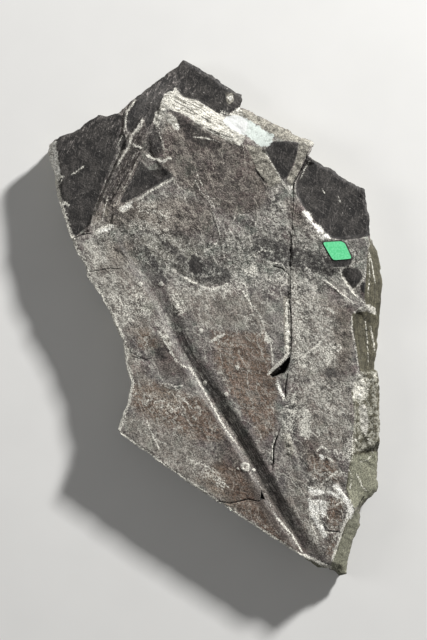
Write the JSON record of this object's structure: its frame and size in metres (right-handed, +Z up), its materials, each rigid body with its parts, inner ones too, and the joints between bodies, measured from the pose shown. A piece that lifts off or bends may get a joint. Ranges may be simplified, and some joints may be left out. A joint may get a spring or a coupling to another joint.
{
  "type": "fossil canna leaf",
  "caption": "Flat slab of dark shale with the impression of a large leaf: a midrib groove, broken ledges, cracks, a patch of white paint and a small green paper diamond.",
  "frame": {"origin": "middle of the slab's bounding box, on the surface that its flat back rests on", "axes": "+X across the slab to the picture's right, +Y along the slab to the picture's top, +Z up out of the face with the leaf"},
  "size_m": [0.154, 0.2372, 0.02],
  "materials": {
    "shale": "dull dark grey and brown stone with pale broken edges",
    "green_paper": "dull bright green paper"
  },
  "bodies": {
    "root": {"slab": "shale", "paper_diamond": "green_paper"}
  },
  "joints": []
}
